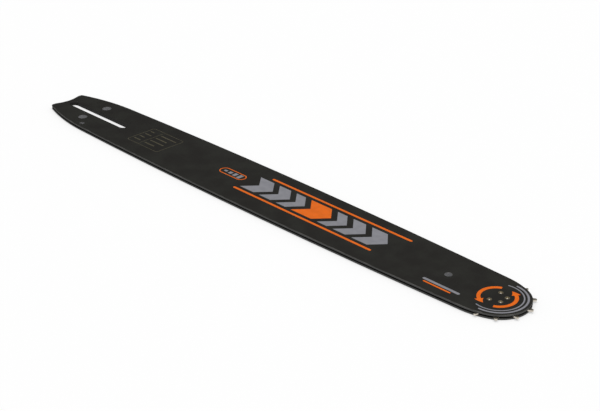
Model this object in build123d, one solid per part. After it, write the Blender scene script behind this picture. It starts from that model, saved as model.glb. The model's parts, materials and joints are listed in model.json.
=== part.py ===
from build123d import *
import os
from math import acos, asin, cos, degrees, isclose, radians, sin, sqrt

# Laminated chainsaw guide bar with a sprocket nose, lying flat on its lower side plate.
# Millimetres, Z up. X runs along the bar from the tail to the nose. The origin is on the lower
# face, at the centre of the rounded rear end of the stud slot.

# Laminations: two side plates spot-welded to a core, which leaves the chain groove at the edges
side_plate_thickness = 1.45
core_thickness = 1.5
groove_depth = 6.8
rail_chamfer = 0.25

# Outline: each long edge is one slow arc, widest at widest_x. Near the nose the rails drop by
# nose_relief over a shoulder to the nose circle, so that the sprocket carries the chain there.
bar_width = 68.0
widest_x = 267.0
nose_x = 528.5
nose_relief = 2.4
shoulder_radius = 60.0

# Tail: the edges taper in on a tighter arc to two lobes with a shallow notch between them
taper_start_x = 51.0
taper_radius = 212.0
tail_overhang = 12.2
lobe_width = 5.0
lobe_corner_radius = 1.8
notch_depth = 3.0
notch_corner_radius = 4.0

# Openings through the laminations
slot_width = 9.5
slot_centres = 79.3
adjuster_hole_diameter = 8.6
adjuster_hole_spacing = 29.0
adjuster_x = 34.1
oil_hole_diameter = 4.4
oil_hole_x = 46.3
oil_hole_from_edge = 5.7
hang_hole_diameter = 6.2
hang_hole_setback = 47.5
hole_chamfer = 0.15

# Nose rivets: four on one circle, a wide pair behind the sprocket axis and a narrow pair ahead
rivet_circle_radius = 7.2
rivet_angles = (34.0, 109.0)
rivet_diameter = 3.2
rivet_head_diameter = 4.0
rivet_head_depth = 0.5
rivet_dish_diameter = 2.6
rivet_dish_depth = 0.3
rivet_fit = 0.02

# Roller bearing between the riveted hub and the sprocket
hub_rim = 1.3
roller_diameter = 2.5
roller_spacing = 0.12
roller_clearance = 0.05
side_clearance = 0.06

# Nose sprocket: its teeth stand out past the nose circle of the side plates by tooth_reach
tooth_count = 11
sprocket_rim = 7.0
tooth_height = 9.5
tooth_reach = 3.2
tooth_tip_width = 1.6
tooth_tip_corner = 0.4
tooth_phase = 11.5
gullet_radius = 4.8
core_clearance = 0.8

# Heights of the laminations and places that follow from the sizes above
core_bottom = side_plate_thickness
core_top = core_bottom + core_thickness
bar_thickness = core_top + side_plate_thickness
half_width = bar_width / 2
nose_centre = Vector(nose_x, 0)
tail_x = -tail_overhang

# The nose is stacked from the inside out: rivets, hub, rollers, sprocket and nose circle.
hub_radius = rivet_circle_radius + rivet_diameter / 2 + hub_rim
roller_circle_radius = hub_radius + roller_clearance + roller_diameter / 2
sprocket_bore_radius = roller_circle_radius + roller_diameter / 2 + roller_clearance
tooth_root_radius = sprocket_bore_radius + sprocket_rim
tooth_tip_radius = tooth_root_radius + tooth_height
nose_radius = tooth_tip_radius - tooth_reach

# Carried on past the shoulder, the edge arc would touch a circle of rail_reach round the nose.
rail_reach = nose_radius + nose_relief
nose_run = nose_x - widest_x
edge_radius = (nose_run**2 + half_width**2 - rail_reach**2) / (2 * (half_width - rail_reach))
edge_centre = Vector(widest_x, half_width - edge_radius)


def arc_height(centre, radius, x):
    """Height in Y of the upper side of a circle at a given x."""
    return centre.Y + sqrt(radius**2 - (x - centre.X) ** 2)


taper_start = Vector(taper_start_x, arc_height(edge_centre, edge_radius, taper_start_x))
taper_centre = taper_start + (edge_centre - taper_start).normalized() * taper_radius

# The shoulder arc lies inside the edge circle and round the nose circle, and touches both.
nose_to_edge = edge_centre - nose_centre
nose_to_shoulder = shoulder_radius - nose_radius
shoulder_turn = acos(
    (nose_to_shoulder**2 + nose_to_edge.length**2 - (edge_radius - shoulder_radius) ** 2)
    / (2 * nose_to_shoulder * nose_to_edge.length)
)
shoulder_direction = nose_to_edge.normalized().rotate(Axis.Z, -degrees(shoulder_turn))
shoulder_centre = nose_centre + shoulder_direction * nose_to_shoulder

roller_pitch = degrees(2 * asin((roller_diameter + roller_spacing) / 2 / roller_circle_radius))
roller_count = int(360 / roller_pitch)
running_width = core_thickness - 2 * side_clearance
rivet_places = [
    nose_centre + Vector(rivet_circle_radius, 0).rotate(Axis.Z, side * angle)
    for angle in rivet_angles
    for side in (1, -1)
]


def mirrored(point):
    """The same point on the other side of the bar's axis."""
    return Vector(point.X, -point.Y)


def arc(centre, start, end):
    """Arc about a centre from start to end, the short way round."""
    radius = (start - centre).length
    middle = centre + ((start + end) * 0.5 - centre).normalized() * radius
    return ThreePointArc(start, middle, end)


def long_edges(inset):
    """Both edges of the bar from the tail to the nose, moved in by inset, and the nose arc."""
    tail = Vector(tail_x, arc_height(taper_centre, taper_radius - inset, tail_x))
    bend = taper_centre + (taper_start - taper_centre).normalized() * (taper_radius - inset)
    shoulder = shoulder_centre + (shoulder_centre - edge_centre).normalized() * (shoulder_radius - inset)
    nose_end = nose_centre + (nose_centre - shoulder_centre).normalized() * (nose_radius - inset)
    nose_tip = nose_centre + Vector(nose_radius - inset, 0)
    upper = [
        arc(taper_centre, tail, bend),
        arc(edge_centre, bend, shoulder),
        arc(shoulder_centre, shoulder, nose_end),
    ]
    lower = [mirror(curve, Plane.XZ) for curve in upper]
    return tail, upper + lower + [ThreePointArc(nose_end, nose_tip, mirrored(nose_end))]


def same(point, other):
    """Whether two points are one, to a thousandth of a millimetre."""
    return (point - other).length < 0.001


def corners(face, point):
    """The face's corners at a point and at its mirror image."""
    return [v for v in face.vertices() if same(Vector(v.X, abs(v.Y)), point)]


def plate_face():
    """Outline of a side plate, with rounded tail lobes and the notch between them."""
    tail, edges = long_edges(0)
    notch_end = tail - Vector(0, lobe_width)
    notch = ThreePointArc(mirrored(notch_end), Vector(tail_x + notch_depth, 0), notch_end)
    lands = [Line(notch_end, tail), Line(mirrored(notch_end), mirrored(tail))]
    face = make_face(edges + lands + [notch])
    face = fillet(corners(face, tail), lobe_corner_radius)
    return fillet(corners(face, notch_end), notch_corner_radius)


def core_face():
    """Outline of the core: the groove is open at both edges and at the tail lobes."""
    tail, edges = long_edges(groove_depth)
    body = make_face(edges + [Line(tail, mirrored(tail))]) & plate_face()
    return body - Pos(nose_x, 0) * Circle(tooth_tip_radius + core_clearance)


def shared_openings():
    """Slot, chain-adjuster holes and hang hole, which pass through every lamination."""
    adjuster = Circle(adjuster_hole_diameter / 2)
    return (
        Pos(slot_centres / 2, 0) * SlotCenterToCenter(slot_centres, slot_width)
        + Pos(adjuster_x, adjuster_hole_spacing / 2) * adjuster
        + Pos(adjuster_x, -adjuster_hole_spacing / 2) * adjuster
        + Pos(nose_x - hang_hole_setback, 0) * Circle(hang_hole_diameter / 2)
    )


def rivet(fit):
    """A countersunk rivet through all laminations, widened by a radial fit."""
    shank = rivet_diameter / 2 + fit
    head = rivet_head_diameter / 2 + fit
    grounded = (Align.CENTER, Align.CENTER, Align.MIN)
    return (
        Cylinder(shank, bar_thickness, align=grounded)
        + Cone(head, shank, rivet_head_depth, align=grounded)
        + Pos(0, 0, bar_thickness - rivet_head_depth) * Cone(shank, head, rivet_head_depth, align=grounded)
    )


def at_rivets(solid):
    """Copies of a solid at the four rivet places."""
    return [Pos(place) * solid for place in rivet_places]


def matching(solid, edges):
    """The solid's own edges that lie where the given edges lie."""
    return [own for own in solid.edges() if any(same(own @ 0.5, edge @ 0.5) for edge in edges)]


def side_plate(bottom, outer_face, oil_side):
    """One side plate, with its own oil hole. Its outer face, numbered from below, has broken edges."""
    oil_y = arc_height(taper_centre, taper_radius, oil_hole_x) - oil_hole_from_edge
    oil_hole = Pos(oil_hole_x, oil_side * oil_y) * Circle(oil_hole_diameter / 2)
    face = plate_face() - shared_openings() - oil_hole
    plate = Pos(0, 0, bottom) * extrude(face, side_plate_thickness)
    outside = plate.faces().sort_by(Axis.Z)[outer_face]
    rail_edges = outside.outer_wire().edges()
    hole_edges = [edge for wire in outside.inner_wires() for edge in wire.edges()]
    plate = chamfer(rail_edges, rail_chamfer)
    plate = chamfer(matching(plate, hole_edges), hole_chamfer)
    return plate - at_rivets(rivet(rivet_fit))


def core_plate():
    """Core lamination between the side plates, cut back around the sprocket."""
    return Pos(0, 0, core_bottom) * extrude(core_face() - shared_openings(), core_thickness)


def bearing_hub():
    """Fixed inner race, clamped between the side plates by the rivets."""
    hub = Pos(nose_x, 0, core_bottom) * extrude(Circle(hub_radius), core_thickness)
    return hub - at_rivets(rivet(rivet_fit))


def nose_rivets():
    """Four flush rivets, each with a shallow dish in both heads."""
    dish = Cone(
        rivet_dish_diameter / 2,
        0,
        rivet_dish_depth,
        align=(Align.CENTER, Align.CENTER, Align.MIN),
    )
    dished = rivet(0) - dish - Pos(0, 0, bar_thickness) * Rot(180, 0, 0) * dish
    return Compound(children=at_rivets(dished))


def roller(index):
    """One bearing roller on its circle about the sprocket axis, a small gap from the one before."""
    place = nose_centre + Vector(roller_circle_radius, 0).rotate(Axis.Z, roller_pitch * index)
    body = extrude(Circle(roller_diameter / 2), running_width)
    return Pos(place.X, place.Y, core_bottom + side_clearance) * body


def gullet():
    """Space between two teeth: a round floor that flares out past the tooth tips."""
    half_pitch = radians(180 / tooth_count)
    tip_corner_x = tooth_tip_radius * cos(half_pitch)
    tip_half_gap = tooth_tip_radius * sin(half_pitch) - tooth_tip_width / 2
    floor_x = tooth_root_radius + gullet_radius
    flare = (tip_half_gap - gullet_radius) / (tip_corner_x - floor_x)
    outer_x = tooth_tip_radius + gullet_radius
    outer_half_gap = gullet_radius + flare * (outer_x - floor_x)
    floor = Pos(floor_x, 0) * Circle(gullet_radius)
    flank = Polygon(
        (floor_x, -gullet_radius),
        (outer_x, -outer_half_gap),
        (outer_x, outer_half_gap),
        (floor_x, gullet_radius),
        align=None,
    )
    return floor + flank


def nose_sprocket():
    """Star of teeth with a bore for the rollers, thinner than the core so that it runs free."""
    gullet_angle = tooth_phase + 180 / tooth_count
    star = Circle(tooth_tip_radius)
    for index in range(tooth_count):
        star -= Rot(0, 0, gullet_angle + 360 * index / tooth_count) * gullet()
    tip_radii = {v: Vector(v.X, v.Y).length for v in star.vertices()}
    tips = [v for v, radius in tip_radii.items() if isclose(radius, tooth_tip_radius, rel_tol=1e-5)]
    star = fillet(tips, tooth_tip_corner) - Circle(sprocket_bore_radius)
    return Pos(nose_x, 0, core_bottom + side_clearance) * extrude(star, running_width)


nodes = {
    "side_plate_lower": side_plate(bottom=0, outer_face=0, oil_side=1),
    "core_plate": core_plate(),
    "side_plate_upper": side_plate(bottom=core_top, outer_face=-1, oil_side=-1),
    "bearing_hub": bearing_hub(),
    "nose_rivets": nose_rivets(),
    "nose_sprocket": nose_sprocket(),
}
for index in range(roller_count):
    nodes[f"roller_{index + 1:02d}"] = roller(index)

os.makedirs("parts", exist_ok=True)
for name, solid in nodes.items():
    export_step(solid, f"parts/{name}.step")
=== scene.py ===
import json
from math import cos, pi, radians, sin

import bmesh
import bpy
import numpy as np
from bpy.props import FloatProperty, FloatVectorProperty, PointerProperty
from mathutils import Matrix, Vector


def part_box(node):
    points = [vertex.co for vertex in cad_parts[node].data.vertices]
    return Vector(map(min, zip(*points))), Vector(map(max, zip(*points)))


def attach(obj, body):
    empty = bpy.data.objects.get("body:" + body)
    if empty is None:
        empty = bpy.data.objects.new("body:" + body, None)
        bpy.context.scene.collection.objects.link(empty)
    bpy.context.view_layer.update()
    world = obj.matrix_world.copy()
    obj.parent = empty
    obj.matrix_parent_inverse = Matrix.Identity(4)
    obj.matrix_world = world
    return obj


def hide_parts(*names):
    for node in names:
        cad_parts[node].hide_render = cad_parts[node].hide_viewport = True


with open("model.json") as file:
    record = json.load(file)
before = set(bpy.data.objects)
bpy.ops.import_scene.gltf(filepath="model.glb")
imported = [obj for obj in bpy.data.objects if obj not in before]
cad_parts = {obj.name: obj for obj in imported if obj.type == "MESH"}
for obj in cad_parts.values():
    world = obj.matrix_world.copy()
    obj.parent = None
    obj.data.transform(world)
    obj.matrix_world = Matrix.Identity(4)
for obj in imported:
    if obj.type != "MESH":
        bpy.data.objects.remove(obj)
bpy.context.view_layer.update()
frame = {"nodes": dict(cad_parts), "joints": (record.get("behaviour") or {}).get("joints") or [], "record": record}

bl_info = {
    "name": "Chainsaw guide bar",
    "version": (1, 0, 0),
    "blender": (4, 5, 0),
    "location": "View3D > Sidebar > Guide Bar",
    "description": "Finishes, printed marks, rivet heads and studio for a sprocket-nose guide bar",
    "category": "Object",
}

# Sizes below are millimetres times MM, because Blender and the frame are in metres.
MM = 0.001

# The CAD model's box and the places on it that the pieces hang on
UPPER_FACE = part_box("side_plate_upper")[1].z
LOWER_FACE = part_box("side_plate_lower")[0].z
JOINTS = {joint["name"]: joint for joint in frame["joints"]}
NOSE = np.array(JOINTS["sprocket_spin"]["pos_m"][:2])
BORES = [
    (*mount["pos_m"][:2], mount["dims"]["r_mm"] * MM)
    for mount in frame["record"]["mounts"]
    if mount["kind"] == "bore"
]
ROLLERS = sorted(name for name in frame["nodes"] if name.startswith("roller_"))

# The stud slot starts at the origin: the distance between its end centres, and its radius
SLOT_LENGTH = 79.3 * MM
SLOT_RADIUS = 4.75 * MM

# How far a mask for the holes or the slot reaches past their walls, to take in their broken edges
MASK_MARGIN = 0.3 * MM

# Points of a piece that lie closer together than this are one point
MERGE_DISTANCE = 0.0005 * MM

# The floor lies this far below the bar, so that no two faces share a plane
FLOOR_GAP = 0.02 * MM

# Width of the camera's sensor, which Blender counts in millimetres
SENSOR_WIDTH = 36

# Settings that recur: a Map Range that eases in and out, and a Mix of colours (sockets 0, 6 and 7)
SMOOTH = {"interpolation_type": "SMOOTHSTEP"}
COLOURS = {"data_type": "RGBA", "output": 2}


def linear(hex_colour):
    """Linear RGBA of an sRGB hex colour."""
    srgb = np.array([int(hex_colour[i : i + 2], 16) / 255 for i in (0, 2, 4)])
    rgb = np.where(srgb <= 0.04045, srgb / 12.92, ((srgb + 0.055) / 1.055) ** 2.4)
    return (*rgb.tolist(), 1.0)


def shade(tone, share):
    """A colour darkened to a share of its light."""
    return [value * share for value in tone[:3]] + [1.0]


def per_metre(millimetres):
    """How many of a pattern's features of this size fit in a metre, which is the pattern's scale."""
    return 1 / (millimetres * MM)


def colour(name, description, hex_colour):
    """A colour that a user can change."""
    return FloatVectorProperty(
        name=name,
        description=description,
        default=linear(hex_colour),
        size=4,
        min=0,
        max=1,
        subtype="COLOR",
    )


def length(name, description, millimetres):
    """A length that a user can change."""
    return FloatProperty(
        name=name,
        description=description,
        default=millimetres * MM,
        unit="LENGTH",
        precision=5,
    )


def place(name, description, *millimetres):
    """A place in the frame that a user can change."""
    return FloatVectorProperty(
        name=name,
        description=description,
        default=[value * MM for value in millimetres],
        size=len(millimetres),
        subtype="XYZ",
        unit="LENGTH",
        precision=5,
    )


def turn(name, description, degrees):
    """An angle that a user can change."""
    return FloatProperty(
        name=name,
        description=description,
        default=radians(degrees),
        subtype="ANGLE",
    )


def fraction(name, description, value):
    """A strength from none to full that a user can change."""
    return FloatProperty(
        name=name,
        description=description,
        default=value,
        min=0,
        max=1,
        subtype="FACTOR",
    )


class GuideBarFinishes(bpy.types.PropertyGroup):
    """Colours of the bar's materials."""

    coat: colour("Coat", "Baked black coat on the side plates", "2B2A28")
    coat_cloud: colour("Coat clouding", "Paler clouding in the black coat", "30302D")
    rail: colour("Rail", "Ground edges of the side plates that the chain runs on", "5E5E5D")
    worn_edge: colour("Worn edge", "Steel that shows where the coat is rubbed off an edge", "767470")
    drilled: colour("Drilled wall", "Bare steel on the walls of the drilled holes", "8F8F91")
    core: colour("Core", "Oily steel at the floor of the chain groove", "2B2927")
    sprocket: colour("Sprocket", "Oil-stained flat sides of the nose sprocket", "605B50")
    tooth: colour("Tooth", "Tooth flanks and tips that the chain keeps bright", "CBC4B8")
    bearing: colour("Bearing", "Ground steel of the hub and rollers", "B4B4B8")
    rivet: colour("Rivet", "Bronze-brown rivet heads", "5C533D")
    # The pale colour on the floor of a rivet's dish is a painted highlight.
    painted_highlight: colour("Punched steel", "Floor of a rivet's dish, which the punch leaves bright", "C4BCB6")
    orange_ink: colour("Orange ink", "Orange screen-printing ink", "EB6E19")
    grey_ink: colour("Grey ink", "Grey screen-printing ink", "8C8C92")
    etch: colour("Etch", "Coat burnt pale by the marking laser", "565140")


class GuideBarRivets(bpy.types.PropertyGroup):
    """Sizes of the nose rivets."""

    circle: length("Rivet circle", "Radius of the circle that the four rivets stand on", 7.2)
    rear_pair: turn("Rear pair", "Angle of the rear rivets from the bar's axis, to each side", 109)
    front_pair: turn("Front pair", "Angle of the front rivets from the bar's axis, to each side", 34)
    head_radius: length("Head radius", "Outer radius of the countersunk head", 2.0)
    shank_radius: length("Shank radius", "Radius of the shank between the heads", 1.6)
    head_depth: length("Head depth", "Depth of the countersunk head", 0.5)
    dish_radius: length("Dish radius", "Radius of the dish that the setting punch leaves", 1.6)
    dish_floor: length("Dish floor", "Radius of the flat floor of that dish", 0.5)
    dish_depth: length("Dish depth", "Depth of that dish", 0.9)
    edge_width: length("Edge width", "Width of the rounding at the head's outer edge", 0.3)
    edge_drop: length("Edge drop", "How far that rounding falls below the face", 0.1)


class GuideBarPrints(bpy.types.PropertyGroup):
    """Sizes of the printed and etched marks on the upper face."""

    ink: length("Ink thickness", "Height of the ink film over the coat", 0.04)
    sink: length("Ink overlap", "How far the film reaches down into the coat", 0.02)
    mark: place("Main mark", "Tail end of the chevrons, on their centre line", 254.5, 3)
    mark_height: length("Mark height", "Height of the chevrons across the bar", 25)
    mark_apex: length("Mark apex", "How far a chevron's point leads its ends", 11)
    mark_gap: length("Mark gap", "Gap between neighbouring chevrons", 7)
    pinstripe: length("Pinstripe", "Width of the long stripes beside the chevrons", 2.4)
    badge: place("Grade badge", "Centre of the capsule", 231.8, 2.8)
    badge_size: place("Badge size", "Length and height of the capsule", 31, 10.5)
    badge_line: length("Badge line", "Width of the capsule's outline", 0.95)
    badge_bar: length("Badge bar", "Width of a bar in the capsule", 3.8)
    panel: place("Tail panel", "Centre of the etched panel", 127, 0.2)
    panel_size: place("Panel size", "Length and height of the etched panel", 43, 32.5)
    panel_line: length("Panel line", "Width of the etched lines", 0.55)
    arrow_radius: length("Arrow radius", "Radius of the turning arrows round the rivets", 14.2)
    arrow_width: length("Arrow width", "Width of an arrow's shaft", 3.0)
    nose_stripe: place("Nose stripe", "Tail end of the stripe pair behind the nose", 470.5, -17.4)


class GuideBarStudio(bpy.types.PropertyGroup):
    """Camera, lamp, sky and floor."""

    azimuth: turn("Azimuth", "Camera's turn about the vertical, from straight in front", 45.646)
    elevation: turn("Elevation", "Camera's height angle over the floor", 26.545)
    focal_length: FloatProperty(
        name="Focal length",
        description=f"For a sensor {SENSOR_WIDTH} mm wide",
        default=82.265,
        unit="CAMERA",
    )
    aim: place("Aim", "Point on the upper face at the middle of the picture", 317.83, 1.231, 4.4)
    distance: length("Distance", "From the aim point to the camera", 1151.08)
    board: colour("Floor board", "Matt board that the bar lies on", "CCCCCC")
    floor_size: length("Floor size", "Side of the square floor", 12000)
    lamp: place("Soft box", "Middle of the soft box overhead", 1120, -450, 2000)
    lamp_size: length("Lamp size", "Side of the square soft box", 2600)
    lamp_reach: length("Lamp reach", "Distance at which the floor no longer gets the soft box's light", 3500)
    lamp_power: FloatProperty(
        name="Lamp power",
        description="Power of the soft box",
        default=31,
        unit="POWER",
    )
    glow_near: fraction("Glow near", "Glow that makes the floor white at the foot of the soft box", 0.41)
    glow_far: fraction("Glow far", "Glow that makes the floor white past the soft box's reach", 0.71)
    sky: fraction("Sky", "Strength of the even light from all round", 0.46)


def add(tree, kind, inputs=(), output=0, **settings):
    """Adds a node with its settings and gives one of its outputs.

    Inputs come in the sockets' order or by name or number, each as a plain value or a link from an output.
    """
    node = tree.nodes.new(kind)
    for name, value in settings.items():
        setattr(node, name, value)
    for key, value in inputs.items() if isinstance(inputs, dict) else enumerate(inputs):
        if isinstance(value, bpy.types.NodeSocket):
            tree.links.new(value, node.inputs[key])
        else:
            node.inputs[key].default_value = value
    return node.outputs[output] if node.outputs else None


def new_material(name):
    """A material with an empty node tree."""
    material = bpy.data.materials.new(name)
    material.use_nodes = True
    material.node_tree.nodes.clear()
    return material, material.node_tree


def flatness(tree):
    """How level the surface is: 1 on flat faces, about 0.7 on broken edges, 0 on upright walls."""
    normal = add(tree, "ShaderNodeTexCoord", output="Normal")
    rise = add(tree, "ShaderNodeSeparateXYZ", [normal], output="Z")
    return add(tree, "ShaderNodeMath", [rise], operation="ABSOLUTE")


def in_bores(tree, spot):
    """1 in the drilled holes, by the distance from each hole's axis, and 0 elsewhere."""
    plan = add(tree, "ShaderNodeVectorMath", [spot, (1, 1, 0)], operation="MULTIPLY")
    inside = 0.0
    for x, y, radius in BORES:
        away = add(tree, "ShaderNodeVectorMath", [plan, (x, y, 0)], output="Value", operation="DISTANCE")
        within = add(tree, "ShaderNodeMath", [away, radius + MASK_MARGIN], operation="LESS_THAN")
        inside = add(tree, "ShaderNodeMath", [inside, within], operation="MAXIMUM")
    return inside


def in_slot(tree, spot):
    """1 in the stud slot, by the distance from the line between its end centres, and 0 elsewhere."""
    x = add(tree, "ShaderNodeSeparateXYZ", [spot], output="X")
    y = add(tree, "ShaderNodeSeparateXYZ", [spot], output="Y")
    nearest = add(tree, "ShaderNodeClamp", [x, 0.0, SLOT_LENGTH])
    beyond = add(tree, "ShaderNodeMath", [x, nearest], operation="SUBTRACT")
    offset = add(tree, "ShaderNodeCombineXYZ", [beyond, y, 0.0])
    away = add(tree, "ShaderNodeVectorMath", [offset], output="Value", operation="LENGTH")
    return add(tree, "ShaderNodeMath", [away, SLOT_RADIUS + MASK_MARGIN], operation="LESS_THAN")


def baked_black_coat(finishes):
    """Baked black enamel sprayed on rolled steel plate.

    A thin matt film that lets the plate's lengthwise rolling lines through, clouds a little, and is
    rubbed through along the sharp outer edges. The rails are ground after coating and dark with oil,
    and the holes are drilled last, so their walls are bare. The slot's walls keep most of their coat,
    with a share of the rail colour mixed in as painted light against the shade in the slot.
    """
    material, tree = new_material("baked_black_enamel_on_rolled_steel")
    spot = add(tree, "ShaderNodeTexCoord", output="Object")

    # Clouds of spray density are about 18 mm across.
    clouds = add(tree, "ShaderNodeTexNoise", {"Vector": spot, "Scale": per_metre(18), "Detail": 3})
    clouding = add(tree, "ShaderNodeMapRange", [clouds, 0.35, 0.7], **SMOOTH)
    coat = add(tree, "ShaderNodeMix", {0: clouding, 6: finishes.coat, 7: finishes.coat_cloud}, **COLOURS)

    # Upright walls are ground rails. In the slot most of the coat is still on them, and the share of rail
    # colour there is painted light against the shade in the slot.
    level = flatness(tree)
    upright = add(tree, "ShaderNodeMapRange", [level, 0.25, 0.5, 1, 0], **SMOOTH)
    # 1 outside the slot and 0.3 in it; on the slot's walls that share of rail colour is painted light.
    rail_wear_and_slot_light = add(tree, "ShaderNodeMapRange", [in_slot(tree, spot), 0, 1, 1, 0.3])
    wall = add(tree, "ShaderNodeMath", [upright, rail_wear_and_slot_light], operation="MULTIPLY")
    rails_and_slot_light = add(tree, "ShaderNodeMix", {0: wall, 6: coat, 7: finishes.rail}, **COLOURS)

    # Rubbed patches on the broken edges are about 9 mm long and 3 mm wide.
    stretch = (per_metre(9), per_metre(3), per_metre(3))
    lengthwise = add(tree, "ShaderNodeMapping", {"Vector": spot, "Scale": stretch})
    patches = add(tree, "ShaderNodeTexNoise", {"Vector": lengthwise, "Scale": 1.0, "Detail": 4})
    wear = add(tree, "ShaderNodeMapRange", [patches, 0.35, 0.7, 0.1, 0.6], **SMOOTH)
    tilted = add(tree, "ShaderNodeMapRange", [level, 0.4, 0.6], **SMOOTH)
    below_flat = add(tree, "ShaderNodeMapRange", [level, 0.85, 0.95, 1, 0], **SMOOTH)
    edge = add(tree, "ShaderNodeMath", [tilted, below_flat], operation="MULTIPLY")
    outer_edge = add(tree, "ShaderNodeMath", [edge, rail_wear_and_slot_light], operation="MULTIPLY")
    rubbed = add(tree, "ShaderNodeMath", [outer_edge, wear], operation="MULTIPLY")
    worn = add(tree, "ShaderNodeMix", {0: rubbed, 6: rails_and_slot_light, 7: finishes.worn_edge}, **COLOURS)

    # Walls of the drilled holes are bare.
    bare = add(tree, "ShaderNodeMath", [upright, in_bores(tree, spot)], operation="MULTIPLY")
    base = add(tree, "ShaderNodeMix", {0: bare, 6: worn, 7: finishes.drilled}, **COLOURS)

    # Rolling lines are about 0.2 mm apart; drawn 1.1 mm apart, so that they show.
    stretch = (per_metre(70), per_metre(1.1), per_metre(1.1))
    along = add(tree, "ShaderNodeMapping", {"Vector": spot, "Scale": stretch})
    rolling = add(tree, "ShaderNodeTexNoise", {"Vector": along, "Scale": 1.0})
    roughness = add(tree, "ShaderNodeMapRange", [rolling, 0.3, 0.7, 0.46, 0.56], **SMOOTH)

    # Orange peel in the spray is about 0.8 mm across and a hundredth of a millimetre deep.
    peel = add(tree, "ShaderNodeTexNoise", {"Vector": spot, "Scale": per_metre(0.8)})
    normal = add(tree, "ShaderNodeBump", {"Strength": 0.5, "Distance": 0.012 * MM, "Height": peel})
    sockets = {
        "Base Color": base,
        "Metallic": rubbed,
        "Roughness": roughness,
        "Specular IOR Level": 0.002,
        "Normal": normal,
    }
    shader = add(tree, "ShaderNodeBsdfPrincipled", sockets)
    add(tree, "ShaderNodeOutputMaterial", [shader])
    return material


def oiled_core_steel(finishes):
    """Blanked steel strip, dull and dark with chain oil.

    The oil lies in streaks along the groove, and the walls of the drilled holes are bare.
    """
    material, tree = new_material("oiled_blanked_steel")
    spot = add(tree, "ShaderNodeTexCoord", output="Object")

    # Oil streaks are about 25 mm long and 2 mm wide.
    stretch = (per_metre(25), per_metre(2), per_metre(2))
    along = add(tree, "ShaderNodeMapping", {"Vector": spot, "Scale": stretch})
    streaks = add(tree, "ShaderNodeTexNoise", {"Vector": along, "Scale": 1.0, "Detail": 3})
    dryness = add(tree, "ShaderNodeMapRange", [streaks, 0.35, 0.65], **SMOOTH)
    soaked = shade(finishes.core, 0.6)
    oiled = add(tree, "ShaderNodeMix", {0: dryness, 6: soaked, 7: finishes.core}, **COLOURS)
    bare = in_bores(tree, spot)
    base = add(tree, "ShaderNodeMix", {0: bare, 6: oiled, 7: finishes.drilled}, **COLOURS)
    roughness = add(tree, "ShaderNodeMapRange", [streaks, 0.3, 0.7, 0.4, 0.6], **SMOOTH)
    sockets = {"Base Color": base, "Roughness": roughness, "Specular IOR Level": 0.1}
    shader = add(tree, "ShaderNodeBsdfPrincipled", sockets)
    add(tree, "ShaderNodeOutputMaterial", [shader])
    return material


def ground_steel(name, sides, rim, line_sizes):
    """Hardened steel, surface-ground: fine lines one way, oil stain on the flat sides, a rim run bright."""
    material, tree = new_material(name)
    spot = add(tree, "ShaderNodeTexCoord", output="Object")

    # Oil stains are about 4 mm across.
    stain = add(tree, "ShaderNodeTexNoise", {"Vector": spot, "Scale": per_metre(4), "Detail": 3})
    staining = add(tree, "ShaderNodeMapRange", [stain, 0.35, 0.75], **SMOOTH)
    stained = add(tree, "ShaderNodeMix", {0: staining, 6: sides, 7: shade(sides, 0.6)}, **COLOURS)
    polish = add(tree, "ShaderNodeMapRange", [flatness(tree), 0.3, 0.8, 1, 0], **SMOOTH)
    base = add(tree, "ShaderNodeMix", {0: polish, 6: stained, 7: rim}, **COLOURS)

    # Grinding lines are a few hundredths of a millimetre apart; drawn coarser, so that they show.
    stretch = [per_metre(size) for size in line_sizes]
    across = add(tree, "ShaderNodeMapping", {"Vector": spot, "Scale": stretch})
    lines = add(tree, "ShaderNodeTexNoise", {"Vector": across, "Scale": 1.0})
    roughness = add(tree, "ShaderNodeMapRange", [lines, 0.3, 0.7, 0.24, 0.4], **SMOOTH)
    normal = add(tree, "ShaderNodeBump", {"Strength": 0.6, "Distance": 0.006 * MM, "Height": lines})
    sockets = {"Base Color": base, "Metallic": 1.0, "Roughness": roughness, "Normal": normal}
    shader = add(tree, "ShaderNodeBsdfPrincipled", sockets)
    add(tree, "ShaderNodeOutputMaterial", [shader])
    return material


def browned_rivet_steel(finishes):
    """Cold-headed steel rivet, browned by heat.

    The head is a dull, patchy bronze, and the floor of its dish is painted pale as a painted highlight.
    """
    material, tree = new_material("browned_cold_headed_steel")
    spot = add(tree, "ShaderNodeTexCoord", output="Object")

    # Patches of heat colour are about 0.9 mm across.
    patches = add(tree, "ShaderNodeTexNoise", {"Vector": spot, "Scale": per_metre(0.9), "Detail": 3})
    dulling = add(tree, "ShaderNodeMapRange", [patches, 0.4, 0.7], **SMOOTH)
    dull = shade(finishes.rivet, 0.7)
    browned = add(tree, "ShaderNodeMix", {0: dulling, 6: finishes.rivet, 7: dull}, **COLOURS)
    # The floor of each dish is painted pale: a painted highlight.
    depth = add(tree, "ShaderNodeAttribute", output="Fac", attribute_name="dish")
    painted_highlight = add(tree, "ShaderNodeMapRange", [depth, 0.7, 1], **SMOOTH)
    base = add(tree, "ShaderNodeMix", {0: painted_highlight, 6: browned, 7: finishes.painted_highlight}, **COLOURS)
    roughness = add(tree, "ShaderNodeMapRange", [painted_highlight, 0, 1, 0.28, 0.5])
    normal = add(tree, "ShaderNodeBump", {"Strength": 0.5, "Distance": 0.01 * MM, "Height": patches})
    sockets = {"Base Color": base, "Metallic": 1.0, "Roughness": roughness, "Normal": normal}
    shader = add(tree, "ShaderNodeBsdfPrincipled", sockets)
    add(tree, "ShaderNodeOutputMaterial", [shader])
    return material


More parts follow.
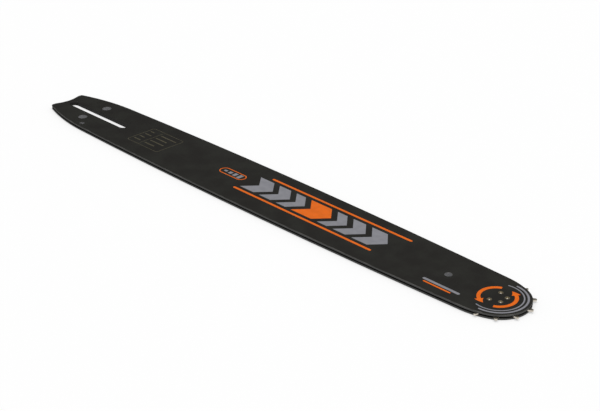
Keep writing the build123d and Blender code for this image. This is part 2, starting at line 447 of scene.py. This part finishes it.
def screen_ink(name, ink):
    """Two-part ink screen-printed on the coat: an even satin film with the screen's faint mesh in it."""
    material, tree = new_material(name)
    spot = add(tree, "ShaderNodeTexCoord", output="Object")

    # The squeegee leaves the film thicker and thinner over about 6 mm.
    density = add(tree, "ShaderNodeTexNoise", {"Vector": spot, "Scale": per_metre(6), "Detail": 3})
    thinning = add(tree, "ShaderNodeMapRange", [density, 0.35, 0.7], **SMOOTH)
    base = add(tree, "ShaderNodeMix", {0: thinning, 6: ink, 7: shade(ink, 0.9)}, **COLOURS)

    # The screen has about four threads to the millimetre; drawn 0.7 mm apart, so that they show.
    mesh = add(tree, "ShaderNodeTexNoise", {"Vector": spot, "Scale": per_metre(0.7)})
    roughness = add(tree, "ShaderNodeMapRange", [mesh, 0.3, 0.7, 0.42, 0.52], **SMOOTH)
    normal = add(tree, "ShaderNodeBump", {"Strength": 0.4, "Distance": 0.008 * MM, "Height": mesh})
    sockets = {"Base Color": base, "Roughness": roughness, "Specular IOR Level": 0.04, "Normal": normal}
    shader = add(tree, "ShaderNodeBsdfPrincipled", sockets)
    add(tree, "ShaderNodeOutputMaterial", [shader])
    return material


def inks(context):
    """The grey and the orange ink, mixed once and shared by the printed marks."""
    finishes = context.scene.guide_bar_finishes
    pots = {"grey_screen_ink": finishes.grey_ink, "orange_screen_ink": finishes.orange_ink}
    return [bpy.data.materials.get(name) or screen_ink(name, ink) for name, ink in pots.items()]


def laser_etch(finishes):
    """Black coat burnt pale by a marking laser: matt olive-grey, uneven from pass to pass."""
    material, tree = new_material("laser_burnt_black_enamel")
    spot = add(tree, "ShaderNodeTexCoord", output="Object")

    # The laser's passes are about 0.05 mm apart; drawn 0.5 mm apart, so that they show.
    stretch = (per_metre(4), per_metre(0.5), per_metre(0.5))
    along = add(tree, "ShaderNodeMapping", {"Vector": spot, "Scale": stretch})
    passes = add(tree, "ShaderNodeTexNoise", {"Vector": along, "Scale": 1.0, "Detail": 3})
    burning = add(tree, "ShaderNodeMapRange", [passes, 0.35, 0.65], **SMOOTH)
    weak = shade(finishes.etch, 0.55)
    base = add(tree, "ShaderNodeMix", {0: burning, 6: weak, 7: finishes.etch}, **COLOURS)
    sockets = {"Base Color": base, "Roughness": 0.7, "Specular IOR Level": 0.1}
    shader = add(tree, "ShaderNodeBsdfPrincipled", sockets)
    add(tree, "ShaderNodeOutputMaterial", [shader])
    return material


def finish_nodes(names, material):
    """Gives CAD nodes a material in every slot."""
    for name in names:
        slots = frame["nodes"][name].data.materials
        slots.clear()
        slots.append(material)


def band(path, side, half_width):
    """Strip carried along a path: every point of the path, moved by the half width to both sides."""
    offset = np.broadcast_to(side, path.shape) * np.reshape(half_width, (-1, 1))
    return np.stack([path - offset, path + offset], axis=1)


def film(strip, low, high, closed=False):
    """Closed thin solid on a strip of point pairs: its top, its underside and the walls between them."""
    # Turned so that a pair's second point lies to the left of the way along, which faces the top upwards
    along = np.diff(strip[:, 0], axis=0)
    across = (strip[:, 1] - strip[:, 0])[:-1]
    if np.sum(along[:, 0] * across[:, 1] - along[:, 1] * across[:, 0]) < 0:
        strip = strip[:, ::-1]
    count = len(strip)
    flat = strip.reshape(-1, 2)
    heights = np.repeat([high, low], len(flat))[:, None]
    points = np.hstack([np.tile(flat, (2, 1)), heights])
    under = len(flat)
    row = 2 * np.arange(count if closed else count - 1)
    after = (row + 2) % under
    top = np.column_stack([row, after, after + 1, row + 1])
    right = np.column_stack([row, row + under, after + under, after])
    left = np.column_stack([after + 1, after + 1 + under, row + 1 + under, row + 1])
    faces = [top, top[:, ::-1] + under, right, left]
    if not closed:
        last = under - 2
        faces.append([[1, 1 + under, under, 0], [last, last + under, last + 1 + under, last + 1]])
    return points, np.vstack(faces)


def lathe(profile, centre, steps=48):
    """Surface of revolution: a profile of radius and height carried round a vertical axis."""
    angle = np.linspace(0, 2 * pi, steps, endpoint=False)[:, None]
    radius, height = profile.T
    grid = np.stack(
        [
            centre[0] + radius * np.cos(angle),
            centre[1] + radius * np.sin(angle),
            np.broadcast_to(height, (steps, len(profile))),
        ],
        axis=-1,
    )
    index = np.arange(grid.shape[0] * grid.shape[1]).reshape(grid.shape[:2])
    turned = np.roll(index, -1, axis=0)
    faces = np.stack([index[:, :-1], turned[:, :-1], turned[:, 1:], index[:, 1:]], axis=-1)
    return grid.reshape(-1, 3), faces.reshape(-1, 4)


def new_piece(name, shapes, material, smooth=False):
    """Joins shapes of points and faces into one mesh object that rides on the bar."""
    starts = np.cumsum([0] + [len(points) for points, _ in shapes])
    points = np.vstack([points for points, _ in shapes])
    faces = np.vstack([faces + start for (_, faces), start in zip(shapes, starts)])
    mesh = bpy.data.meshes.new(name)
    mesh.from_pydata(points.tolist(), [], faces.tolist())
    # Pointed ends and poles come as points on one spot, which are merged.
    body = bmesh.new()
    body.from_mesh(mesh)
    bmesh.ops.remove_doubles(body, verts=body.verts, dist=MERGE_DISTANCE)
    body.to_mesh(mesh)
    body.free()
    mesh.polygons.foreach_set("use_smooth", [smooth] * len(mesh.polygons))
    mesh.materials.append(material)
    piece = bpy.data.objects.new(name, mesh)
    bpy.context.scene.collection.objects.link(piece)
    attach(piece, "bar")
    return piece


def print_films(name, strips, material):
    """One printed mark on the upper face, from strips or closed loops of point pairs."""
    prints = bpy.context.scene.guide_bar_prints
    low = UPPER_FACE - prints.sink
    high = UPPER_FACE + prints.ink
    shapes = [film(strip, low, high, closed) for strip, closed in strips]
    return new_piece(name, shapes, material)


def round_end(from_end, width):
    """Half width of a stripe by the distance from its end: a quarter circle, then even."""
    short = np.clip(1 - from_end / (width / 2), 0, 1)
    return width / 2 * np.sqrt(1 - short**2)


def crowded(steps):
    """Shares of the way from 0 to 1 that crowd towards both ends, where a stripe rounds off.

    They are half of one minus the cosine of an angle that goes evenly through half a turn.
    """
    return (1 - np.cos(np.linspace(0, pi, steps))) / 2


def straight(start, end, width, steps=25):
    """Straight stripe with round ends."""
    start, end = np.array(start), np.array(end)
    run = end - start
    reach = np.linalg.norm(run)
    share = crowded(steps)
    half_width = round_end(np.minimum(share, 1 - share) * reach, width)
    side = np.array([-run[1], run[0]]) / reach
    return band(start + share[:, None] * run, side, half_width), False


def bar_mark(start, end, width):
    """Straight stripe with square ends."""
    start, end = np.array(start), np.array(end)
    run = end - start
    side = np.array([-run[1], run[0]]) / np.linalg.norm(run)
    return band(np.stack([start, end]), side, width / 2), False


def chevron(tail, height, apex, width):
    """Chevron: a V lying on its side, carried along X by its width. Its point leads its ends by apex."""
    x, y = tail
    path = np.array([[x, y - height / 2], [x + apex, y], [x, y + height / 2]])
    return band(path + [width / 2, 0], (1, 0), width / 2), False


def round_rectangle(centre, size, corner, width, steps=12):
    """Outline of a rectangle with round corners: four quarter circles, joined by the straight sides."""
    inner = np.array(size) / 2 - corner
    quarter = np.linspace(0, pi / 2, steps)
    angle = np.concatenate([quarter + start for start in (0, pi / 2, pi, 1.5 * pi)])
    signs = np.repeat([[1, 1], [-1, 1], [-1, -1], [1, -1]], steps, axis=0)
    side = np.column_stack([np.cos(angle), np.sin(angle)])
    return band(np.array(centre) + signs * inner + corner * side, side, width / 2), True


def ring_arc(radius, width, start, end, steps=97):
    """Arc about the nose axis with round ends, from one angle to another."""
    share = crowded(steps)
    angle = start + share * (end - start)
    half_width = round_end(np.minimum(share, 1 - share) * abs(end - start) * radius, width)
    side = np.column_stack([np.cos(angle), np.sin(angle)])
    return band(NOSE + radius * side, side, half_width), False


def turning_arrow(radius, width, start, end, head=radians(26), flare=2.3, steps=41):
    """Arrow bent round the nose axis: an even shaft, then a head whose width runs from wide to nothing."""
    neck = end - head
    head_steps = 9
    angle = np.concatenate([np.linspace(start, neck, steps), np.linspace(neck, end, head_steps)])
    shaft_half = np.full(steps, width / 2)
    head_half = flare * width / 2 * np.linspace(1, 0, head_steps)
    side = np.column_stack([np.cos(angle), np.sin(angle)])
    return band(NOSE + radius * side, side, np.concatenate([shaft_half, head_half])), False


class GUIDEBAR_OT_coat_side_plates(bpy.types.Operator):
    """Give both side plates their baked black coat"""

    bl_idname = "guide_bar.coat_side_plates"
    bl_label = "Coat Side Plates"

    def execute(self, context):
        material = baked_black_coat(context.scene.guide_bar_finishes)
        finish_nodes(("side_plate_lower", "side_plate_upper"), material)
        return {"FINISHED"}


class GUIDEBAR_OT_finish_core(bpy.types.Operator):
    """Give the core plate its oiled steel"""

    bl_idname = "guide_bar.finish_core"
    bl_label = "Finish Core"

    def execute(self, context):
        finish_nodes(("core_plate",), oiled_core_steel(context.scene.guide_bar_finishes))
        return {"FINISHED"}


class GUIDEBAR_OT_finish_nose(bpy.types.Operator):
    """Give the sprocket and its roller bearing their ground steel"""

    bl_idname = "guide_bar.finish_nose"
    bl_label = "Finish Nose Bearing"

    def execute(self, context):
        finishes = context.scene.guide_bar_finishes
        # Lines run along X on the sprocket's sides, and along Z on the hub's and rollers' walls.
        sprocket = ground_steel(
            "hardened_ground_sprocket_steel", finishes.sprocket, finishes.tooth, (6, 0.35, 0.35)
        )
        bearing = ground_steel("ground_bearing_steel", finishes.bearing, finishes.bearing, (0.5, 0.5, 4))
        finish_nodes(("nose_sprocket",), sprocket)
        finish_nodes(["bearing_hub", *ROLLERS], bearing)
        return {"FINISHED"}


class GUIDEBAR_OT_set_rivets(bpy.types.Operator):
    """Set the four dished rivets through the nose"""

    bl_idname = "guide_bar.set_rivets"
    bl_label = "Set Nose Rivets"

    def execute(self, context):
        rivets = context.scene.guide_bar_rivets
        # The head is flush, less a dish whose wall eases from rim to floor and a rounding at the outer edge,
        # which falls with the square of the way across it.
        steps = 30
        radius = np.linspace(0, rivets.head_radius, steps)
        past_edge = np.clip(1 - (rivets.head_radius - radius) / rivets.edge_width, 0, 1)
        drop = rivets.dish_depth * self.dish_share(radius, rivets) + rivets.edge_drop * past_edge**2
        head = np.column_stack([radius, -drop])
        middle = (UPPER_FACE + LOWER_FACE) / 2
        reach = UPPER_FACE - middle
        # From the lower head's middle out to its rim, in along its cone, and so to the shank
        cone_end = [rivets.shank_radius, rivets.head_depth - reach]
        lower = np.vstack([head * [1, -1] - [0, reach], [cone_end]])
        profile = np.vstack([lower, lower[::-1] * [1, -1]]) + [0, middle]
        angles = np.array([rivets.front_pair, -rivets.front_pair, rivets.rear_pair, -rivets.rear_pair])
        centres = NOSE + rivets.circle * np.column_stack([np.cos(angles), np.sin(angles)])
        shapes = [lathe(profile, centre) for centre in centres]
        material = browned_rivet_steel(context.scene.guide_bar_finishes)
        piece = new_piece("dished_nose_rivets", shapes, material, smooth=True)
        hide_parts("nose_rivets")
        self.mark_dishes(piece.data, centres, rivets)
        return {"FINISHED"}

    def dish_share(self, radius, rivets):
        """Share of the dish's depth by the distance from the rivet's axis: 1 on its floor, 0 from its rim.

        Between them it eases in and out, as three times the square of the way less twice its cube.
        """
        share = np.clip((rivets.dish_radius - radius) / (rivets.dish_radius - rivets.dish_floor), 0, 1)
        return share**2 * (3 - 2 * share)

    def mark_dishes(self, mesh, centres, rivets):
        """Keeps each point's share of the dish's depth as an attribute, for the material."""
        places = np.empty(len(mesh.vertices) * 3)
        mesh.vertices.foreach_get("co", places)
        plan = places.reshape(-1, 3)[:, :2]
        away = np.linalg.norm(plan[:, None] - centres, axis=2).min(axis=1)
        dish = mesh.attributes.new("dish", "FLOAT", "POINT")
        dish.data.foreach_set("value", self.dish_share(away, rivets))


class GUIDEBAR_OT_etch_panel(bpy.types.Operator):
    """Etch the ruled panel at the tail"""

    bl_idname = "guide_bar.etch_panel"
    bl_label = "Etch Tail Panel"

    def execute(self, context):
        prints = context.scene.guide_bar_prints
        x, y = prints.panel
        long, high = prints.panel_size
        line = prints.panel_line
        corner = 2 * MM
        strips = [round_rectangle((x, y), (long, high), corner, line)]
        # A divider across the bar, then ruled rows on both sides of it
        divider = x - 0.14 * long
        reach = 0.42 * high
        strips.append(bar_mark((divider, y - reach), (divider, y + reach), line))
        left = x - 0.44 * long
        left_room = 0.25 * long
        right = x - 0.08 * long
        right_room = 0.52 * long
        rule = 2.4 * line
        levels = y + high * np.array([0.3, 0.1, -0.1, -0.3])
        # The rows are uneven: how much of the room on the left and on the right each of them fills
        fills = ((0.5, 0.95), (0.8, 0.7), (0.65, 0.85), (0.8, 0.6))
        for level, (left_fill, right_fill) in zip(levels, fills):
            strips.append(bar_mark((left, level), (left + left_fill * left_room, level), rule))
            strips.append(bar_mark((right, level), (right + right_fill * right_room, level), rule))
        print_films("tail_panel_etch", strips, laser_etch(context.scene.guide_bar_finishes))
        return {"FINISHED"}


class GUIDEBAR_OT_print_main_mark(bpy.types.Operator):
    """Print the chevrons that thin out towards an orange one and grow again, between two pinstripes"""

    bl_idname = "guide_bar.print_main_mark"
    bl_label = "Print Main Mark"

    def execute(self, context):
        prints = context.scene.guide_bar_prints
        grey, orange = inks(context)
        tail_x, y = prints.mark
        # From the tail to the nose, with the orange one in the middle
        widths = np.array([17, 14, 11, 24, 11, 14, 17]) * MM
        steps = widths + prints.mark_gap
        starts = tail_x + np.cumsum(steps) - steps
        chevrons = [
            chevron((start, y), prints.mark_height, prints.mark_apex, width)
            for start, width in zip(starts, widths)
        ]
        accent = chevrons.pop(len(chevrons) // 2)
        print_films("main_chevrons", chevrons, grey)
        print_films("main_accent_chevron", [accent], orange)
        end_x = starts[-1] + widths[-1] + prints.mark_apex
        level = prints.mark_height / 2 + 2 * prints.pinstripe
        # The upper stripe is set towards the nose, and the lower one towards the tail.
        upper = (tail_x + 10 * MM, end_x + 11 * MM, y + level)
        lower = (tail_x - 3 * MM, end_x - 2 * MM, y - level)
        stripes = [
            straight((start, height), (end, height), prints.pinstripe)
            for start, end, height in (upper, lower)
        ]
        print_films("main_pinstripes", stripes, orange)
        return {"FINISHED"}


class GUIDEBAR_OT_print_badge(bpy.types.Operator):
    """Print the outlined capsule with four bars that step up"""

    bl_idname = "guide_bar.print_badge"
    bl_label = "Print Grade Badge"

    def execute(self, context):
        prints = context.scene.guide_bar_prints
        grey, orange = inks(context)
        line = prints.badge_line
        size = np.array(prints.badge_size) - line
        outline = round_rectangle(prints.badge, size, size[1] / 2, line)
        print_films("badge_capsule", [outline], orange)
        x, y = prints.badge
        # Each bar's place along the capsule, and how far it reaches to both sides of the centre line
        places = x + np.array([-9, -3, 3, 9]) * MM
        reaches = np.array([1.2, 1.9, 2.6, 3.3]) * MM
        bars = [
            bar_mark((along, y - reach), (along, y + reach), prints.badge_bar)
            for along, reach in zip(places, reaches)
        ]
        print_films("badge_bars", bars, grey)
        return {"FINISHED"}


class GUIDEBAR_OT_print_nose_mark(bpy.types.Operator):
    """Print two turning arrows round the rivets, arcs along the nose and a pair of stripes behind them"""

    bl_idname = "guide_bar.print_nose_mark"
    bl_label = "Print Nose Mark"

    def execute(self, context):
        prints = context.scene.guide_bar_prints
        grey, orange = inks(context)
        sweep = radians(145)
        arrows = [
            turning_arrow(prints.arrow_radius, prints.arrow_width, start, start + sweep)
            for start in (radians(-65), radians(115))
        ]
        print_films("turning_arrows", arrows, orange)
        # Radius and width in millimetres, and reach to both sides of the bar's axis in degrees
        arcs = [
            ring_arc(radius * MM, width * MM, radians(-reach), radians(reach))
            for radius, width, reach in ((19.8, 1.1, 105), (22.9, 1.6, 90))
        ]
        print_films("nose_arcs", arcs, grey)
        x, y = prints.nose_stripe
        upper_end = x + 36 * MM
        upper_width = 2.6 * MM
        upper = straight((x, y), (upper_end, y), upper_width)
        print_films("nose_stripe_grey", [upper], grey)
        # The lower stripe is shorter and thinner, and lies nearer to the bar's edge.
        lower_start = x + 3 * MM
        lower_end = x + 30 * MM
        lower_y = y - 3.4 * MM
        lower_width = 1.6 * MM
        lower = straight((lower_start, lower_y), (lower_end, lower_y), lower_width)
        print_films("nose_stripe_orange", [lower], orange)
        return {"FINISHED"}


class GUIDEBAR_OT_set_stage(bpy.types.Operator):
    """Lay the floor, hang the soft box, light the room and place the camera"""

    bl_idname = "guide_bar.set_stage"
    bl_label = "Set Stage"

    def execute(self, context):
        scene = context.scene
        studio = scene.guide_bar_studio
        scene.view_settings.view_transform = "Standard"
        self.floor(scene, studio)
        self.light(scene, studio)
        self.camera(scene, studio)
        return {"FINISHED"}

    def seen_directly(self, tree):
        """1 for rays from the camera or by way of gloss or glass, 0 for rays that light the object."""
        either = add(tree, "ShaderNodeLightPath", output="Is Camera Ray")
        for name in ("Is Glossy Ray", "Is Transmission Ray"):
            other = add(tree, "ShaderNodeLightPath", output=name)
            either = add(tree, "ShaderNodeMath", [either, other], operation="MAXIMUM")
        return either

    def floor(self, scene, studio):
        """White studio board a hair below the bar; it shows white where it is seen and keeps the shadow."""
        half = studio.floor_size / 2
        corners = np.array(studio.aim[:2]) + half * np.array([[-1, -1], [1, -1], [1, 1], [-1, 1]])
        level = LOWER_FACE - FLOOR_GAP
        mesh = bpy.data.meshes.new("studio_floor")
        mesh.from_pydata([(x, y, level) for x, y in corners.tolist()], [], [(0, 1, 2, 3)])
        material, tree = new_material("matt_white_studio_board")
        board = add(tree, "ShaderNodeBsdfDiffuse", [studio.board])
        # Under the soft box the board needs less glow to be white, and far from it more.
        spot = add(tree, "ShaderNodeTexCoord", output="Object")
        foot = (studio.lamp[0], studio.lamp[1], level)
        away = add(tree, "ShaderNodeVectorMath", [spot, foot], output="Value", operation="DISTANCE")
        ramp = [away, 0, studio.lamp_reach, studio.glow_near, studio.glow_far]
        white = add(tree, "ShaderNodeMapRange", ramp, **SMOOTH)
        strength = add(tree, "ShaderNodeMath", [white, self.seen_directly(tree)], operation="MULTIPLY")
        glow = add(tree, "ShaderNodeEmission", [(1, 1, 1, 1), strength])
        both = add(tree, "ShaderNodeAddShader", [board, glow])
        add(tree, "ShaderNodeOutputMaterial", [both])
        mesh.materials.append(material)
        floor = bpy.data.objects.new("studio_floor", mesh)
        scene.collection.objects.link(floor)

    def light(self, scene, studio):
        """One large soft box overhead and an even sky, which is white where it is seen."""
        lamp = bpy.data.lights.new("soft_box", "AREA")
        lamp.shape = "SQUARE"
        lamp.size = studio.lamp_size
        lamp.energy = studio.lamp_power
        holder = bpy.data.objects.new("soft_box", lamp)
        holder.location = studio.lamp
        scene.collection.objects.link(holder)
        world = bpy.data.worlds.new("studio")
        world.use_nodes = True
        tree = world.node_tree
        tree.nodes.clear()
        strength = add(tree, "ShaderNodeMapRange", [self.seen_directly(tree), 0, 1, studio.sky, 1])
        sky = add(tree, "ShaderNodeBackground", [(1, 1, 1, 1), strength])
        add(tree, "ShaderNodeOutputWorld", [sky])
        scene.world = world

    def camera(self, scene, studio):
        """Camera level at its azimuth and elevation, looking at the aim point."""
        lens = bpy.data.cameras.new("camera")
        lens.lens = studio.focal_length
        lens.sensor_width = SENSOR_WIDTH
        lens.sensor_fit = "HORIZONTAL"
        lens.clip_start = 10 * MM
        view = bpy.data.objects.new("camera", lens)
        azimuth, elevation = studio.azimuth, studio.elevation
        back = np.array(
            [sin(azimuth) * cos(elevation), -cos(azimuth) * cos(elevation), sin(elevation)]
        )
        view.location = np.array(studio.aim) + studio.distance * back
        view.rotation_euler = (pi / 2 - elevation, 0, azimuth)
        scene.collection.objects.link(view)
        scene.camera = view


class GUIDEBAR_PT_sidebar(bpy.types.Panel):
    """Steps and settings of the guide bar"""

    bl_idname = "GUIDEBAR_PT_sidebar"
    bl_label = "Guide Bar"
    bl_space_type = "VIEW_3D"
    bl_region_type = "UI"
    bl_category = "Guide Bar"

    def draw(self, context):
        for operator in OPERATORS:
            self.layout.operator(operator.bl_idname)
        for name in SETTINGS:
            settings = getattr(context.scene, name)
            box = self.layout.box()
            for key in settings.bl_rna.properties.keys():
                if key not in ("rna_type", "name"):
                    box.prop(settings, key)


SETTINGS = {
    "guide_bar_finishes": GuideBarFinishes,
    "guide_bar_rivets": GuideBarRivets,
    "guide_bar_prints": GuideBarPrints,
    "guide_bar_studio": GuideBarStudio,
}
OPERATORS = (
    GUIDEBAR_OT_coat_side_plates,
    GUIDEBAR_OT_finish_core,
    GUIDEBAR_OT_finish_nose,
    GUIDEBAR_OT_set_rivets,
    GUIDEBAR_OT_etch_panel,
    GUIDEBAR_OT_print_main_mark,
    GUIDEBAR_OT_print_badge,
    GUIDEBAR_OT_print_nose_mark,
    GUIDEBAR_OT_set_stage,
)


def register():
    for group in SETTINGS.values():
        bpy.utils.register_class(group)
    for operator in OPERATORS:
        bpy.utils.register_class(operator)
    bpy.utils.register_class(GUIDEBAR_PT_sidebar)
    for name, group in SETTINGS.items():
        setattr(bpy.types.Scene, name, PointerProperty(type=group))


def unregister():
    for name in SETTINGS:
        delattr(bpy.types.Scene, name)
    bpy.utils.unregister_class(GUIDEBAR_PT_sidebar)
    for operator in reversed(OPERATORS):
        bpy.utils.unregister_class(operator)
    for group in reversed(SETTINGS.values()):
        bpy.utils.unregister_class(group)


def main():
    register()
    bpy.ops.guide_bar.coat_side_plates()
    bpy.ops.guide_bar.finish_core()
    bpy.ops.guide_bar.finish_nose()
    bpy.ops.guide_bar.set_rivets()
    bpy.ops.guide_bar.etch_panel()
    bpy.ops.guide_bar.print_main_mark()
    bpy.ops.guide_bar.print_badge()
    bpy.ops.guide_bar.print_nose_mark()
    bpy.ops.guide_bar.set_stage()


if __name__ == "__main__":
    main()
